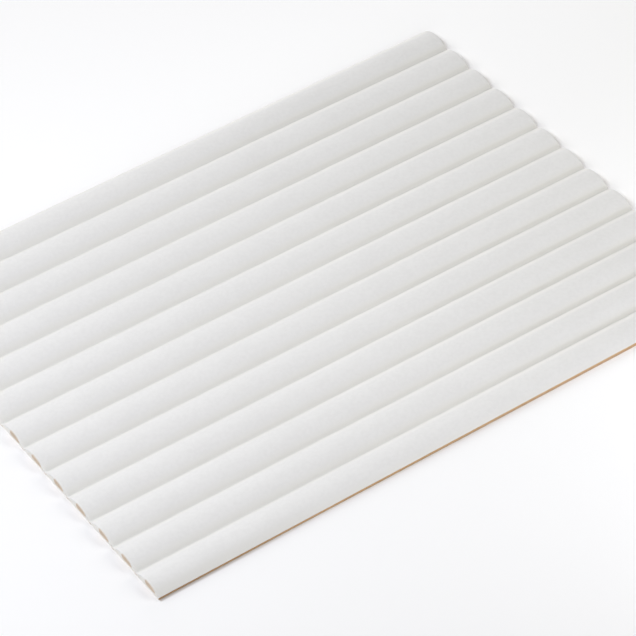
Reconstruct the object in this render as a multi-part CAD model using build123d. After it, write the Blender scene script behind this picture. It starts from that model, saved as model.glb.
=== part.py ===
from build123d import *
import os
from math import sqrt

# Fluted wall panel: one piece of thin fibreboard, with rounded flutes machined along its face and a
# sprayed coating that has no thickness of its own here. The board lies on its flat back.
#
# Frame, in millimetres: the origin is at the middle of the flat back, +X runs along the flutes,
# +Y across them, and +Z goes up through the fluted face.

# Driving dimensions
flute_pitch = 23.5        # from one valley to the next
flute_count = 13
panel_length = 400.0      # along the flutes
crease_height = 0.95      # above the back, of the sharp corner in which two flutes would meet
flute_rise = 4.55         # from that corner to the crests
valley_radius = 1.5       # that the corner is rounded to
side_trim = 0.6           # sawn off the first flute, so that the -Y edge is a little higher
end_arris_radius = 0.5    # sanded over the rim at both ends
side_arris_radius = 0.3   # along the tops of the long edges

# Worked out from them
board_thickness = crease_height + flute_rise
flute_radius = (flute_pitch**2 / 4 + flute_rise**2) / (2 * flute_rise)
root_height = sqrt((flute_radius + valley_radius) ** 2 - flute_pitch**2 / 4) + board_thickness - flute_radius
web_thickness = root_height - valley_radius
panel_width = flute_pitch * flute_count - side_trim
first_valley = -panel_width / 2 - side_trim


def face_height(from_crest):
    """Height of the face above the back, at a distance across from the nearest crest."""
    return board_thickness - flute_radius + sqrt(flute_radius**2 - from_crest**2)


trimmed_edge_height = face_height(flute_pitch / 2 - side_trim)


def crease_point(index):
    """Corner between two flutes, seen along them. The first flute's outer corner is sawn away."""
    if index == 0:
        return (-panel_width / 2, trimmed_edge_height)
    return (first_valley + index * flute_pitch, crease_height)


def crest_point(index):
    """Highest point of a flute, halfway between two valleys."""
    return (first_valley + (index + 0.5) * flute_pitch, board_thickness)


def panel_section():
    """Cross-section: a flat back, two square edges and a row of shallow arcs for the face."""
    back_left = (-panel_width / 2, 0)
    back_right = (panel_width / 2, 0)
    with BuildSketch(Plane.YZ) as section:
        with BuildLine():
            Line(back_left, back_right)
            Line(back_right, crease_point(flute_count))
            for index in reversed(range(flute_count)):
                ThreePointArc(crease_point(index + 1), crest_point(index), crease_point(index))
            Line(crease_point(0), back_left)
        make_face()
        creases = [
            corner
            for corner in section.vertices()
            if corner.Y > crease_height / 2 and abs(corner.X) < (panel_width - flute_pitch) / 2
        ]
        fillet(creases, valley_radius)
    return section.sketch


def rim_edges(panel, axis, half_extent):
    """Edges of the fluted face that lie in the two planes square to the axis, at its outer ends."""
    return [
        edge
        for edge in panel.edges()
        if abs(abs(edge.center().dot(axis.direction)) - half_extent) < 1e-6
        and edge.center().Z > crease_height * 0.75
    ]


def fluted_panel():
    """The whole board: the section drawn out to its length, with its rim eased."""
    panel = extrude(panel_section(), amount=panel_length / 2, both=True)
    panel = fillet(rim_edges(panel, Axis.X, panel_length / 2), end_arris_radius)
    return fillet(rim_edges(panel, Axis.Y, panel_width / 2), side_arris_radius)


os.makedirs("parts", exist_ok=True)
panel = fluted_panel()
panel.label = "fluted_panel"
export_step(panel, "parts/fluted_panel.step")
print("panel", panel_length, "x", panel_width, "x", board_thickness, "radius", round(flute_radius, 2))
print("web", round(web_thickness, 2), "trimmed edge", round(trimmed_edge_height, 2))
print("volume", round(panel.volume), "solids", len(panel.solids()))
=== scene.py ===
from math import asin, cos, pi, radians, sin, sqrt

import bpy
from mathutils import Matrix, Vector, noise


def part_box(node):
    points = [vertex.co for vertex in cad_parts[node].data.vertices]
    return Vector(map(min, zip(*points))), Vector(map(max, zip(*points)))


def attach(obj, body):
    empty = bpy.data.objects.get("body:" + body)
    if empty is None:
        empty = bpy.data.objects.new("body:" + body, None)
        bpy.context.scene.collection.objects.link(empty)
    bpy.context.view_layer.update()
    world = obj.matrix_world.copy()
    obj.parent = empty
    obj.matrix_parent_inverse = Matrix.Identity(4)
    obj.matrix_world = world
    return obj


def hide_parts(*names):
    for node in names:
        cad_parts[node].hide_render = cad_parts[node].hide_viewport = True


# A fluted wall panel of coated fibreboard, lying on its back on a pale table.
# +X runs along the flutes, +Y across them and +Z up. Sizes of the board are in millimetres,
# as in its CAD source, and everything else is in metres.

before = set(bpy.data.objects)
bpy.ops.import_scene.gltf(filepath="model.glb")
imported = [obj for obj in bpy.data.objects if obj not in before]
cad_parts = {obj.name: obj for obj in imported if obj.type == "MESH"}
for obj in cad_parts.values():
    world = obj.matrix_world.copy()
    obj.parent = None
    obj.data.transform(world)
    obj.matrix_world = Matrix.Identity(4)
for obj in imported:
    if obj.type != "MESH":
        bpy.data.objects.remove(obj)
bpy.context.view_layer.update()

MM = 0.001

# The board, as in its CAD source
FLUTE_PITCH = 23.5
FLUTE_COUNT = 13
PANEL_LENGTH = 400.0
FLUTE_RISE = 4.55
CREASE_HEIGHT = 0.95      # where two flutes would meet, before the valley is rounded
VALLEY_RADIUS = 1.5
SIDE_TRIM = 0.6
END_ARRIS_RADIUS = 0.5
SIDE_ARRIS_RADIUS = 0.3
BOARD_THICKNESS = CREASE_HEIGHT + FLUTE_RISE
FLUTE_RADIUS = (FLUTE_PITCH**2 / 4 + FLUTE_RISE**2) / (2 * FLUTE_RISE)
PANEL_WIDTH = FLUTE_PITCH * FLUTE_COUNT - SIDE_TRIM
FIRST_VALLEY = -PANEL_WIDTH / 2 - SIDE_TRIM

# How finely its surface is divided
FLUTE_STEPS = 18
ROOT_STEPS = 8
ARRIS_STEPS = 3
LENGTH_STEPS = 104
EDGE_LEVELS = 8

# Relief of the coating and of the sawn edges
SIDE_SKEW = 1.8           # the -Y edge was sawn a little askew: so much more is off at its +X end
WAVE_HEIGHT = 0.03        # of the sprayed coating, over a few centimetres
ORANGE_PEEL = 0.006       # finer unevenness of the same
SAWN_DEPTH = 0.05         # of the bare edges
PATCH_DEPTH = 0.08        # the bare patches on the ends lie below their coating

# The bare patch in the middle of each flute's end
PATCH_HALF_LENGTH = 5.1
PATCH_HALF_HEIGHT = 2.15
PATCH_CENTRE_HEIGHT = 3.5
PATCH_OFFSET = -2.8       # from under the crest, towards -Y

# Where the coating changes colour: painted shade and highlights, and fibre at the rim. Offsets and widths are
# in millimetres, places across a flute are in pitches from its crest, and places along the board in metres.
TINT_OFFSET = 0.7         # of the middle of the valley's painted shade, a warm tint, from the valley towards +Y
TINT_REACH = (0.03, 0.25)  # in pitches from that middle
TINT_WAVER = 0.03         # in pitches
FLANK_OFFSET = -0.2       # of the line between a valley's dark side and the next flute's flank
HIGHLIGHT_ACROSS = (0.22, 0.42)  # painted highlight here, towards the far end
HIGHLIGHT_ALONG = (-0.12, 0.12)
PAINTED_SHADE_ACROSS = (-0.42, -0.36)  # painted shade here, towards the far end
PAINTED_SHADE_ALONG = (0.0, 0.1)
FLUTE_SHADE_WIDTH = 9.0          # of the painted shade on the last flute beside the -Y edge
FLUTE_SHADE_ALONG = (-0.17, -0.06)
CORNER_SHADE = 0.052      # how much painted shade darkens the coating towards the far end's -Y corner
CORNER_ALONG = (0.02, 0.19)
CORNER_ACROSS = (-0.13, 0.06)  # in metres from the middle
RIM_ALONG = (-0.1999, -0.1994)  # at the near end, where fibre shows in the rim over the end's patches
RIM_ACROSS = (0.6, 1.0)   # in half lengths of a patch
RIM_AMOUNT = 0.7

# The dense top layer of a long edge, and where along the board its painted shade, darker towards the near
# end, turns lighter
DENSE_DEPTH = (1.2, 1.9)
DENSE_WANDER = 0.5
LONG_EDGE_SHADE_ALONG = (-0.215, -0.06)

# Camera, from the perspective of the photograph
CAMERA_PLACE = (-0.83963, -1.29952, 1.45863)
CAMERA_HEADING = 56.825   # degrees from +X towards +Y
CAMERA_PITCH = -43.716
CAMERA_ROLL = -2.330
CAMERA_LENS = 204.66      # on a 36 mm wide frame

# Lamps: where they stand (degrees from +X towards +Y, degrees up, and distance), how wide they are,
# their strength, where 1 alone lights a surface that faces the lamp to its own colour, and their tint
LAMPS = {
    "window": (120, 30, 2.0, 1.0, 0.478, (1.01, 1.0, 0.96)),
    "near_end": (180, 60, 0.8, 0.4, 0.448, (0.99, 1.0, 1.06)),
    "far_side": (60, 12, 2.0, 1.0, 0.242, (1.02, 1.0, 0.99)),
    "far_end": (0, 45, 2.0, 1.0, 0.131, (1.0, 1.0, 1.01)),
    "far_right": (320, 30, 0.8, 0.4, 0.279, (1.03, 1.0, 0.88)),
    "right_wall": (245, 15, 2.0, 1.0, 0.248, (1.03, 1.0, 0.95)),
    "low_right": (305, 8, 0.5, 0.1, 0.104, (0.97, 1.0, 1.21)),
}
AMBIENT = 0.06

# The table. Its glow is seen by the camera and in reflections, and lights nothing else.
TABLE_COLOR = (0.925, 0.93, 0.945)
TABLE_GLOW = (0.02, 0.09)  # before the near end and behind the far one
GLOW_ALONG = (-0.2, 0.3)
SIDE_GLOW = 0.068         # beyond the +Y edge, on top of that
SIDE_GLOW_ACROSS = (0.0, 0.2)
FAR_TABLE = (0.36, 0.6)   # distances from the board's middle between which the table fades into
                          # an even pale tone

# The table's shade close to the board: beside the near part of its -Y edge, and before its near end
TABLE_SHADE = (0.50, 0.455, 0.43)
SHADE_WIDTH = (0.6, 2.5)  # millimetres from the edge
SHADE_ALONG = (-0.21, -0.05)
SHADE_START = (-0.2005, -0.199)  # at the near end's corner, so that it doesn't run on past it
SHADE_SIDE = (-0.12, -0.1)  # only on the board's -Y side
END_SHADE = 0.2           # how strong it is before the near end
END_SHADE_ALONG = (-0.2035, -0.2)
END_SHADE_ACROSS = (0.1525, 0.154)
UNDER_BOARD = (0.0, 0.1)  # hidden places along the board, where the end's shade stops


# Shape of the board


def flute_centre(index):
    """Centre of the arc of a flute, seen along the flutes."""
    return (FIRST_VALLEY + (index + 0.5) * FLUTE_PITCH, BOARD_THICKNESS - FLUTE_RADIUS)


def arc_points(centre, radius, start, end, steps):
    """Points round an arc, by angles from straight up towards +Y."""
    points = []
    for step in range(steps + 1):
        angle = start + (end - start) * step / steps
        points.append((centre[0] + radius * sin(angle), centre[1] + radius * cos(angle)))
    return points


def side_arris(index, edge_y, inwards):
    """Centre of the rounding at a long edge's top, and the angle where it meets the flute's arc."""
    centre_y, centre_z = flute_centre(index)
    y = edge_y + inwards * SIDE_ARRIS_RADIUS
    reach = FLUTE_RADIUS - SIDE_ARRIS_RADIUS
    z = centre_z + sqrt(reach**2 - (y - centre_y) ** 2)
    return (y, z), asin((y - centre_y) / reach)


def skew(x):
    """How much more is sawn off the -Y edge at a place along the board."""
    return SIDE_SKEW * (x / PANEL_LENGTH + 0.5)


def edge_height(x):
    """Height of the -Y edge at a place along the board."""
    centre_y, centre_z = flute_centre(0)
    edge_y = -PANEL_WIDTH / 2 + skew(x)
    return centre_z + sqrt(FLUTE_RADIUS**2 - (edge_y - centre_y) ** 2)


def face_profile(x):
    """The fluted face in section at a place along the board, from the -Y edge to the +Y edge."""
    last = FLUTE_COUNT - 1
    root_angle = asin(FLUTE_PITCH / 2 / (FLUTE_RADIUS + VALLEY_RADIUS))
    first_arris, first_angle = side_arris(0, -PANEL_WIDTH / 2 + skew(x), 1)
    last_arris, last_angle = side_arris(last, PANEL_WIDTH / 2, -1)
    profile = arc_points(first_arris, SIDE_ARRIS_RADIUS, -pi / 2, first_angle, ARRIS_STEPS)
    for index in range(FLUTE_COUNT):
        centre = flute_centre(index)
        start = first_angle if index == 0 else -root_angle
        end = last_angle if index == last else root_angle
        profile += arc_points(centre, FLUTE_RADIUS, start, end, FLUTE_STEPS)[1:]
        if index < last:
            lift = sqrt((FLUTE_RADIUS + VALLEY_RADIUS) ** 2 - (FLUTE_PITCH / 2) ** 2)
            root = (centre[0] + FLUTE_PITCH / 2, centre[1] + lift)
            profile += arc_points(root, -VALLEY_RADIUS, root_angle, -root_angle, ROOT_STEPS)[1:]
    profile += arc_points(last_arris, SIDE_ARRIS_RADIUS, last_angle, pi / 2, ARRIS_STEPS)[1:]
    return profile


def stations():
    """Places along the board, with how far the face has rolled down there towards the ends."""
    half = PANEL_LENGTH / 2
    roll = []
    for step in range(ARRIS_STEPS + 1):
        angle = pi / 2 * (1 - step / ARRIS_STEPS)
        place = half - END_ARRIS_RADIUS * (1 - sin(angle))
        roll.append((-place, END_ARRIS_RADIUS * (1 - cos(angle))))
    inner = half - END_ARRIS_RADIUS
    middle = [(inner * (2 * step / LENGTH_STEPS - 1), 0) for step in range(1, LENGTH_STEPS)]
    return roll + middle + [(-x, drop) for x, drop in reversed(roll)]


def grain(x, y, z, size):
    """Smooth noise between about -1 and 1, with features of the given size in millimetres."""
    return noise.noise(Vector((x, y, z)) / size)


def face_relief(x, y):
    """How far the coating lies below its highest level."""
    wave = grain(x * 0.5, y, 11, 14) + 1
    return WAVE_HEIGHT * wave / 2 + ORANGE_PEEL * (grain(x, y, 23, 3) + 1) / 2


def end_relief(y, z):
    """How far an end's surface lies inside its plane: sawn fibres, with the bare patches sunk."""
    across = (y - PATCH_OFFSET - FIRST_VALLEY) % FLUTE_PITCH - FLUTE_PITCH / 2
    spread = (across / PATCH_HALF_LENGTH) ** 4 + ((z - PATCH_CENTRE_HEIGHT) / PATCH_HALF_HEIGHT) ** 4
    sunk = PATCH_DEPTH * max(0, 1 - spread)
    return sunk + SAWN_DEPTH * (grain(31, y, z, 0.9) + 1) / 2


def side_relief(x, z):
    """How far a long edge's surface lies inside its plane, drawn out along the saw's travel."""
    return SAWN_DEPTH * (grain(x * 0.3, 47, z, 0.8) + 1) / 2


def board_mesh():
    """The whole board as one closed surface, over a grid of places along, across and up."""
    along = stations()
    across = [face_profile(x) for x, roll in along]
    last_i, last_j = len(along) - 1, len(across[0]) - 1
    number = {}
    points = []

    def vertex(i, j, k):
        if (i, j, k) not in number:
            x, roll = along[i]
            y, face_z = across[i][j]
            top = face_z - roll
            z = top * k / EDGE_LEVELS
            if k == EDGE_LEVELS:
                z -= face_relief(x, y)
            inner = 0 < k < EDGE_LEVELS
            if inner and i in (0, last_i):
                x -= end_relief(y, z) * (1 if i else -1)
            if inner and j in (0, last_j):
                y -= side_relief(x, z) * (1 if j else -1)
            number[i, j, k] = len(points)
            points.append((x * MM, y * MM, z * MM))
        return number[i, j, k]

    faces, kinds = [], []

    def add(kind, corners):
        faces.append([vertex(*corner) for corner in corners])
        kinds.append(kind)

    top = EDGE_LEVELS
    for i in range(last_i):
        for j in range(last_j):
            add("face", [(i, j, top), (i + 1, j, top), (i + 1, j + 1, top), (i, j + 1, top)])
            add("back", [(i, j, 0), (i, j + 1, 0), (i + 1, j + 1, 0), (i + 1, j, 0)])
        for k in range(top):
            add("side", [(i, 0, k), (i + 1, 0, k), (i + 1, 0, k + 1), (i, 0, k + 1)])
            add("side", [(i + 1, last_j, k), (i, last_j, k), (i, last_j, k + 1), (i + 1, last_j, k + 1)])
    for j in range(last_j):
        for k in range(top):
            add("end", [(0, j + 1, k), (0, j, k), (0, j, k + 1), (0, j + 1, k + 1)])
            add("end", [(last_i, j, k), (last_i, j + 1, k), (last_i, j + 1, k + 1), (last_i, j, k + 1)])

    mesh = bpy.data.meshes.new("coated_board")
    mesh.from_pydata(points, [], faces)
    return mesh, kinds


def fit_height(mesh, height):
    """Stretches the mesh upwards, so that its highest crest just reaches a height."""
    stretch = height / max(vertex.co.z for vertex in mesh.vertices)
    for vertex in mesh.vertices:
        vertex.co.z *= stretch


# Materials


class Shader:
    """A material's node tree, built up by small steps."""

    def __init__(self, name):
        self.material = bpy.data.materials.new(name)
        self.material.use_nodes = True
        self.nodes = self.material.node_tree.nodes
        self.links = self.material.node_tree.links
        self.surface = self.nodes["Principled BSDF"]
        self.place = self.nodes.new("ShaderNodeTexCoord").outputs["Object"]

    def put(self, value, socket):
        """A socket takes either a plain value or the output of another node."""
        if isinstance(value, bpy.types.NodeSocket):
            self.links.new(value, socket)
        elif isinstance(value, tuple) and len(value) == 3 and socket.type == "RGBA":
            socket.default_value = (*value, 1)
        else:
            socket.default_value = value

    def math(self, operation, first, second=0.0, third=0.0):
        """Arithmetic on plain values or the outputs of other nodes."""
        node = self.nodes.new("ShaderNodeMath")
        node.operation = operation
        for socket, value in zip(node.inputs, (first, second, third)):
            self.put(value, socket)
        return node.outputs[0]

    def product(self, first, second):
        """One value times another."""
        return self.math("MULTIPLY", first, second)

    def size(self, value):
        """A value without its sign."""
        return self.math("ABSOLUTE", value)

    def mix(self, amount, first, second):
        """Blend of two colours."""
        node = self.nodes.new("ShaderNodeMix")
        node.data_type = "RGBA"
        self.put(amount, node.inputs["Factor"])
        self.put(first, node.inputs[6])
        self.put(second, node.inputs[7])
        return node.outputs[2]

    def ramp(self, value, low, high, start=0.0, end=1.0):
        """Turns a value between low and high smoothly into one between start and end."""
        node = self.nodes.new("ShaderNodeMapRange")
        node.interpolation_type = "SMOOTHSTEP"
        for socket, number in zip(node.inputs, (value, low, high, start, end)):
            self.put(number, socket)
        return node.outputs[0]

    def axes(self):
        """The place on the object in metres, as separate X, Y and Z."""
        node = self.nodes.new("ShaderNodeSeparateXYZ")
        self.put(self.place, node.inputs[0])
        return node.outputs

    def noise(self, size, detail=2.0, stretch=(1, 1, 1), roughness=0.5):
        """Noise from 0 to 1, with features of a size in millimetres, drawn out by stretch."""
        scale = self.nodes.new("ShaderNodeMapping")
        scale.vector_type = "POINT"
        self.put(self.place, scale.inputs["Vector"])
        self.put(tuple(1 / (size * MM * factor) for factor in stretch), scale.inputs["Scale"])
        node = self.nodes.new("ShaderNodeTexNoise")
        self.put(scale.outputs[0], node.inputs["Vector"])
        self.put(1.0, node.inputs["Scale"])
        self.put(detail, node.inputs["Detail"])
        self.put(roughness, node.inputs["Roughness"])
        return node.outputs["Fac"]

    def bump(self, height, depth):
        """Relief from a height between 0 and 1, of a depth in millimetres."""
        node = self.nodes.new("ShaderNodeBump")
        self.put(height, node.inputs["Height"])
        self.put(depth * MM, node.inputs["Distance"])
        self.put(node.outputs[0], self.surface.inputs["Normal"])

    def finish(self, color, roughness, specular):
        """Sets the surface's main values and gives the finished material."""
        self.put(color, self.surface.inputs["Base Color"])
        self.put(roughness, self.surface.inputs["Roughness"])
        self.surface.inputs["Specular IOR Level"].default_value = specular
        return self.material


BLACK = (0.0, 0.0, 0.0)
COAT_WHITE = (0.794, 0.794, 0.794)
COAT_GREY = (0.766, 0.766, 0.766)
# Four of the coating's colours below are painted light and shade: the valley tint, the shade beside the -Y
# edge, the highlight and the deep shade.
VALLEY_SHADE_TINT = (0.79, 0.787, 0.768)
COAT_END = (0.85, 0.845, 0.83)
COAT_THIN = (0.85, 0.82, 0.77)
COAT_FLUTE_SHADE = (0.745, 0.741, 0.722)
COAT_PAINTED_HIGHLIGHT = (0.86, 0.855, 0.84)
COAT_PAINTED_SHADE = (0.755, 0.751, 0.733)
FIBRE_DARK = (0.41, 0.265, 0.14)
FIBRE_TAN = (0.56, 0.36, 0.19)
FIBRE_BROWN = (0.44, 0.29, 0.17)
FIBRE_PALE = (0.60, 0.44, 0.31)
FIBRE_DUSTY = (0.70, 0.60, 0.50)


def coat_color(shader):
    """Matte white spray, a little greyer in patches and in its grain."""
    grain_part, patch_part = 0.7, 0.3
    patches = shader.product(shader.noise(30, detail=3), patch_part)
    amount = shader.math("MULTIPLY_ADD", shader.noise(2.2, detail=3), grain_part, patches)
    return shader.mix(shader.ramp(amount, 0.35, 0.65), COAT_WHITE, COAT_GREY)


def flute_phase(shader, offset):
    """Place across the flute, -0.5 to 0.5 pitches from a line at an offset in mm from its crest."""
    y = shader.axes()[1]
    flutes = shader.math("MULTIPLY_ADD", y, 1 / (FLUTE_PITCH * MM), -(FIRST_VALLEY + offset) / FLUTE_PITCH)
    return shader.math("SUBTRACT", shader.math("FRACT", flutes), 0.5)


def from_valley(shader, offset=0.0):
    """Distance in pitches from the nearest line at an offset in mm from a valley, 0 to 0.5."""
    return shader.math("SUBTRACT", 0.5, shader.size(flute_phase(shader, offset)))


def patch_across(shader):
    """Place across the bare patch of each flute's end, in its half lengths from its middle."""
    return shader.product(flute_phase(shader, PATCH_OFFSET), FLUTE_PITCH / PATCH_HALF_LENGTH)


def coat_material():
    """The coated face: painted shade and highlights along the valleys, painted shade beside the -Y edge and
    towards the far -Y corner, and fibre showing at the rim.
    """
    shader = Shader("matte_coat")
    x, y, _ = shader.axes()

    # Painted shade: a warm, slightly darker tint on the coating beside each valley.
    waver = shader.math("MULTIPLY_ADD", shader.noise(2.5), TINT_WAVER, from_valley(shader, TINT_OFFSET))
    color = shader.mix(shader.ramp(waver, *TINT_REACH, 1.0, 0.0), coat_color(shader), VALLEY_SHADE_TINT)

    # Painted highlight on the flank past each valley, and painted shade on the valley's dark side, both
    # towards the far end.
    across = flute_phase(shader, FLANK_OFFSET)
    painted_highlight = shader.product(shader.ramp(across, *HIGHLIGHT_ACROSS), shader.ramp(x, *HIGHLIGHT_ALONG))
    color = shader.mix(painted_highlight, color, COAT_PAINTED_HIGHLIGHT)
    painted_shade = shader.product(shader.ramp(across, *PAINTED_SHADE_ACROSS, 1.0, 0.0), shader.ramp(x, *PAINTED_SHADE_ALONG))
    color = shader.mix(painted_shade, color, COAT_PAINTED_SHADE)

    # Painted shade on the last flute beside the -Y edge, towards the near end.
    edge = -PANEL_WIDTH / 2
    beside = shader.ramp(y, edge * MM, (edge + FLUTE_SHADE_WIDTH) * MM, 1.0, 0.0)
    flute_shade = shader.product(beside, shader.ramp(x, *FLUTE_SHADE_ALONG, 1.0, 0.0))
    color = shader.mix(flute_shade, color, COAT_FLUTE_SHADE)
    # Painted shade towards the far end's -Y corner.
    far = shader.ramp(x, *CORNER_ALONG, 0.0, CORNER_SHADE)
    color = shader.mix(shader.product(far, shader.ramp(y, *CORNER_ACROSS, 1.0, 0.0)), color, BLACK)

    patch = shader.ramp(shader.size(patch_across(shader)), *RIM_ACROSS, RIM_AMOUNT, 0.0)
    rim = shader.product(shader.ramp(x, *RIM_ALONG, 1.0, 0.0), patch)
    color = shader.mix(rim, color, FIBRE_DUSTY)

    shader.bump(shader.noise(1.1, detail=3), 0.015)
    return shader.finish(color, shader.ramp(shader.noise(4), 0.3, 0.7, 0.58, 0.68), specular=0.3)


def fibre_color(shader, stretch):
    """Pressed wood fibre: brown strands and flecks of several shades."""
    strands = shader.noise(0.7, detail=4, stretch=stretch, roughness=0.65)
    broad = shader.noise(9, detail=2)
    brown = shader.mix(shader.ramp(strands, 0.35, 0.65), FIBRE_BROWN, FIBRE_PALE)
    return shader.mix(shader.ramp(broad, 0.45, 0.75, 0.0, 0.35), brown, FIBRE_DARK)


def side_material():
    """A long edge: bare fibre, dense and darker just under the face, paler further down, with painted shade
    darkening the dense layer towards the near end.
    """
    shader = Shader("bare_long_edge")
    x, _, z = shader.axes()
    half = PANEL_LENGTH / 2
    near_top, far_top = edge_height(-half), edge_height(half)
    slope = (far_top - near_top) / PANEL_LENGTH
    top = shader.math("MULTIPLY_ADD", x, slope, (near_top + far_top) / 2 * MM)
    wander = shader.product(shader.noise(1.6, stretch=(3, 1, 1)), DENSE_WANDER * MM)
    depth = shader.math("SUBTRACT", shader.math("ADD", top, wander), z)
    dense = shader.ramp(depth, *(level * MM for level in DENSE_DEPTH), 1.0, 0.0)
    # Painted shade: the dense layer is darker towards the near end.
    shaded_dense_color = shader.mix(shader.ramp(x, *LONG_EDGE_SHADE_ALONG), FIBRE_DARK, FIBRE_TAN)
    color = shader.mix(dense, fibre_color(shader, (4, 1, 0.5)), shaded_dense_color)
    shader.bump(shader.noise(0.5, detail=4, stretch=(4, 1, 0.6)), 0.08)
    return shader.finish(color, 0.85, specular=0.2)


def end_material():
    """A sawn end: thinly coated, but bare in the middle of each flute, with brown spots at the valleys that
    are partly fibre and partly painted shade.
    """
    shader = Shader("sawn_end")
    z = shader.axes()[2]
    up = shader.product(shader.math("SUBTRACT", z, PATCH_CENTRE_HEIGHT * MM), 1 / (PATCH_HALF_HEIGHT * MM))
    parts = [shader.math("POWER", shader.size(part), 4.0) for part in (patch_across(shader), up)]
    spread = shader.math("ADD", *parts)
    raggedness = 1.1
    offset = shader.math("SUBTRACT", spread, raggedness / 2)
    ragged = shader.math("MULTIPLY_ADD", shader.noise(1.6, detail=4), raggedness, offset)
    bare = shader.ramp(ragged, 0.5, 1.3, 1.0, 0.0)
    # Brown spots at the valleys: partly bare fibre, partly painted shade in the corners.
    valley_spot_reach = shader.math("MULTIPLY_ADD", shader.noise(1.0, detail=3), -0.06, from_valley(shader))
    valley_spot_and_shade = shader.ramp(valley_spot_reach, 0.0, 0.03, 0.35, 0.0)
    thin = shader.mix(shader.ramp(shader.noise(2.5, detail=3), 0.35, 0.65), COAT_END, COAT_THIN)
    coat = shader.mix(valley_spot_and_shade, thin, FIBRE_BROWN)
    fibre = shader.mix(0.65, fibre_color(shader, (1, 2, 1)), FIBRE_DUSTY)
    color = shader.mix(bare, coat, fibre)
    shader.bump(shader.noise(0.5, detail=4, stretch=(1, 2, 1)), 0.06)
    return shader.finish(color, 0.8, specular=0.2)


def back_material():
    """The bare back: pressed fibre, smoother than the edges."""
    shader = Shader("bare_back")
    shader.bump(shader.noise(0.8, detail=3), 0.02)
    return shader.finish(fibre_color(shader, (2, 2, 1)), 0.75, specular=0.25)


def coated_board():
    """The board's object, which stands for the CAD node in the picture."""
    mesh, kinds = board_mesh()
    fit_height(mesh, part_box("fluted_panel")[1].z)
    order = {"face": coat_material(), "side": side_material(), "end": end_material(), "back": back_material()}
    for material in order.values():
        mesh.materials.append(material)
    slots = {kind: slot for slot, kind in enumerate(order)}
    for polygon, kind in zip(mesh.polygons, kinds):
        polygon.material_index = slots[kind]
        polygon.use_smooth = True
    mesh.set_sharp_from_angle(angle=radians(50))
    board = bpy.data.objects.new("coated_board", mesh)
    bpy.context.scene.collection.objects.link(board)
    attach(board, "root")
    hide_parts("fluted_panel")
    return board


# Surroundings


def table_shade(shader):
    """How dark the table is close to the board, from 0 to 1."""
    x, y, _ = shader.axes()
    edge_middle = (SIDE_SKEW - PANEL_WIDTH) / 2
    edge = shader.math("MULTIPLY_ADD", x, SIDE_SKEW / PANEL_LENGTH, edge_middle * MM)
    from_edge = shader.math("SUBTRACT", edge, y)
    beside = shader.ramp(from_edge, *(width * MM for width in SHADE_WIDTH), 1.0, 0.0)
    beside = shader.product(beside, shader.ramp(y, *SHADE_SIDE, 1.0, 0.0))
    along = shader.product(shader.ramp(x, *SHADE_START), shader.ramp(x, *SHADE_ALONG, 1.0, 0.0))
    before_end = shader.ramp(x, *END_SHADE_ALONG, 0.0, END_SHADE)
    before_end = shader.product(before_end, shader.ramp(x, *UNDER_BOARD, 1.0, 0.0))
    before_end = shader.product(before_end, shader.ramp(shader.size(y), *END_SHADE_ACROSS, 1.0, 0.0))
    return shader.math("MAXIMUM", shader.product(beside, along), before_end)


def table_material():
    """A pale matte top that fades into an even tone far from the board, for camera and reflections."""
    shader = Shader("pale_table")
    seen = shader.nodes.new("ShaderNodeLightPath")
    direct = shader.math("MAXIMUM", seen.outputs["Is Camera Ray"], seen.outputs["Is Glossy Ray"])
    x, y, _ = shader.axes()
    end_glow = shader.ramp(x, *GLOW_ALONG, *TABLE_GLOW)
    glow = shader.math("ADD", end_glow, shader.ramp(y, *SIDE_GLOW_ACROSS, 0.0, SIDE_GLOW))
    away = shader.nodes.new("ShaderNodeVectorMath")
    away.operation = "LENGTH"
    shader.put(shader.place, away.inputs[0])
    far = shader.ramp(away.outputs["Value"], *FAR_TABLE)
    glow = shader.math("MULTIPLY_ADD", shader.math("SUBTRACT", 1.0, glow), far, glow)
    shader.put(TABLE_COLOR, shader.surface.inputs["Emission Color"])
    shader.put(shader.product(direct, glow), shader.surface.inputs["Emission Strength"])
    color = shader.mix(table_shade(shader), TABLE_COLOR, TABLE_SHADE)
    color = shader.mix(shader.product(direct, far), color, BLACK)
    return shader.finish(color, 0.9, specular=0.0)


def table():
    """A wide table top, which keeps the board's shadow."""
    reach = 6.0
    mesh = bpy.data.meshes.new("table")
    mesh.from_pydata([(-reach, -reach, 0), (reach, -reach, 0), (reach, reach, 0), (-reach, reach, 0)],
                     [], [(0, 1, 2, 3)])
    mesh.materials.append(table_material())
    obj = bpy.data.objects.new("table", mesh)
    bpy.context.scene.collection.objects.link(obj)


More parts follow.
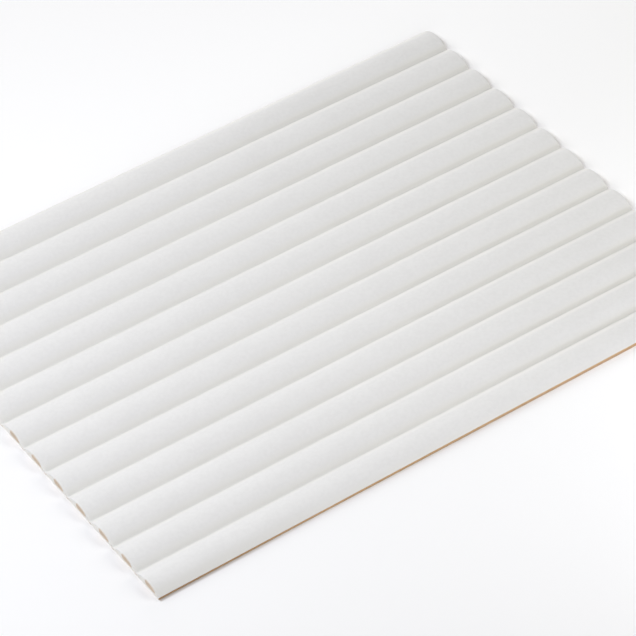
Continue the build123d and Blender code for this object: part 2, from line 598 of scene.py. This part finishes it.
def lamp(name, heading, height, distance, width, strength, tint):
    """A round soft lamp that faces the board's middle."""
    direction = Vector((
        cos(radians(height)) * cos(radians(heading)),
        cos(radians(height)) * sin(radians(heading)),
        sin(radians(height)),
    ))
    light = bpy.data.lights.new(name, "AREA")
    light.shape = "DISK"
    light.size = width
    light.energy = strength * pi**2 * distance**2
    light.color = tint
    obj = bpy.data.objects.new(name, light)
    obj.location = direction * distance
    obj.rotation_euler = direction.to_track_quat("Z", "Y").to_euler()
    bpy.context.scene.collection.objects.link(obj)


def surroundings():
    """Lamps, and an even light from all round that the camera sees as a white background."""
    for name, values in LAMPS.items():
        lamp(name, *values)
    world = bpy.data.worlds.new("soft_room")
    world.use_nodes = True
    nodes, links = world.node_tree.nodes, world.node_tree.links
    seen = nodes.new("ShaderNodeLightPath")
    ambient = nodes.new("ShaderNodeMapRange")
    links.new(seen.outputs["Is Camera Ray"], ambient.inputs["Value"])
    ambient.inputs["To Min"].default_value = AMBIENT
    links.new(ambient.outputs[0], nodes["Background"].inputs["Strength"])
    nodes["Background"].inputs["Color"].default_value = (1, 1, 1, 1)
    bpy.context.scene.world = world


def camera():
    """The camera, placed and turned as the photograph's was."""
    heading, pitch, roll = radians(CAMERA_HEADING), radians(CAMERA_PITCH), radians(CAMERA_ROLL)
    forward = Vector((cos(pitch) * cos(heading), cos(pitch) * sin(heading), sin(pitch)))
    level = forward.cross(Vector((0, 0, 1))).normalized()
    upright = level.cross(forward)
    right = level * cos(roll) + upright * sin(roll)
    up = upright * cos(roll) - level * sin(roll)
    data = bpy.data.cameras.new("camera")
    data.sensor_width = 36
    data.lens = CAMERA_LENS
    data.clip_end = 50
    obj = bpy.data.objects.new("camera", data)
    turn = Matrix((right, up, -forward)).transposed().to_4x4()
    obj.matrix_world = Matrix.Translation(CAMERA_PLACE) @ turn
    bpy.context.scene.collection.objects.link(obj)
    bpy.context.scene.camera = obj


coated_board()
table()
surroundings()
camera()
bpy.context.scene.view_settings.view_transform = "Standard"
